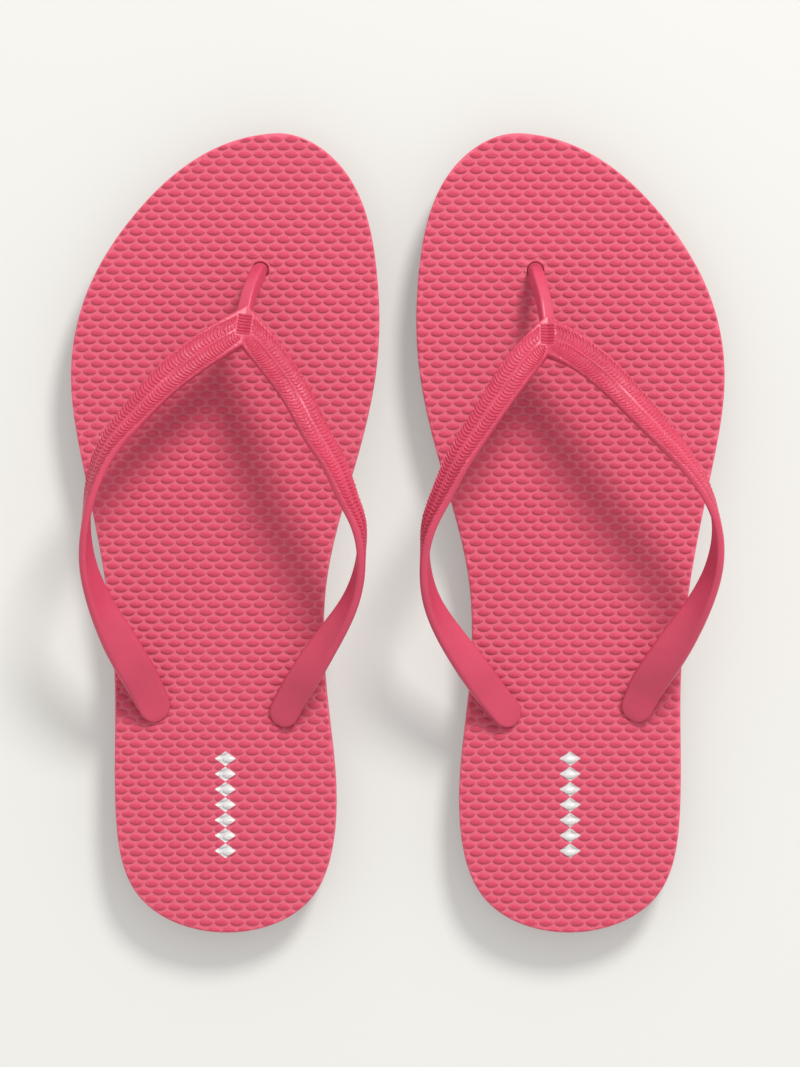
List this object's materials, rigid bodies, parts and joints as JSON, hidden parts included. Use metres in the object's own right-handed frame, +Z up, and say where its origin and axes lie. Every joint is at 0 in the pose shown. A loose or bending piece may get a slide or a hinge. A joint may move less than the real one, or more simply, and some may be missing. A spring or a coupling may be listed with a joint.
{
  "type": "flip flop",
  "caption": "Left and right flat foam flip flops with embossed footbeds, a moulded Y-shaped toe-post strap plugged into each sole, and a printed heel motif.",
  "frame": {"origin": "on the floor, midway between the two soles and halfway along them", "axes": "+X to the wearer's right, +Y towards the toes, +Z up"},
  "size_m": [0.2086, 0.255, 0.0511],
  "materials": {
    "footbed": "matt coral foam, embossed",
    "outsole": "matt coral foam",
    "strap": "satin coral soft plastic",
    "print": "silvery white foil"
  },
  "bodies": {
    "left_shoe": {"left_footbed": "footbed", "left_outsole": "outsole", "left_strap": "strap", "left_heel_print": "print"},
    "right_shoe": {"right_footbed": "footbed", "right_outsole": "outsole", "right_strap": "strap", "right_heel_print": "print"}
  },
  "joints": [
    {"name": "lift_right_shoe", "type": "slide", "parent": "left_shoe", "child": "right_shoe", "axis": [0, 0, 1], "range_m": [0, 0.08]}
  ]
}
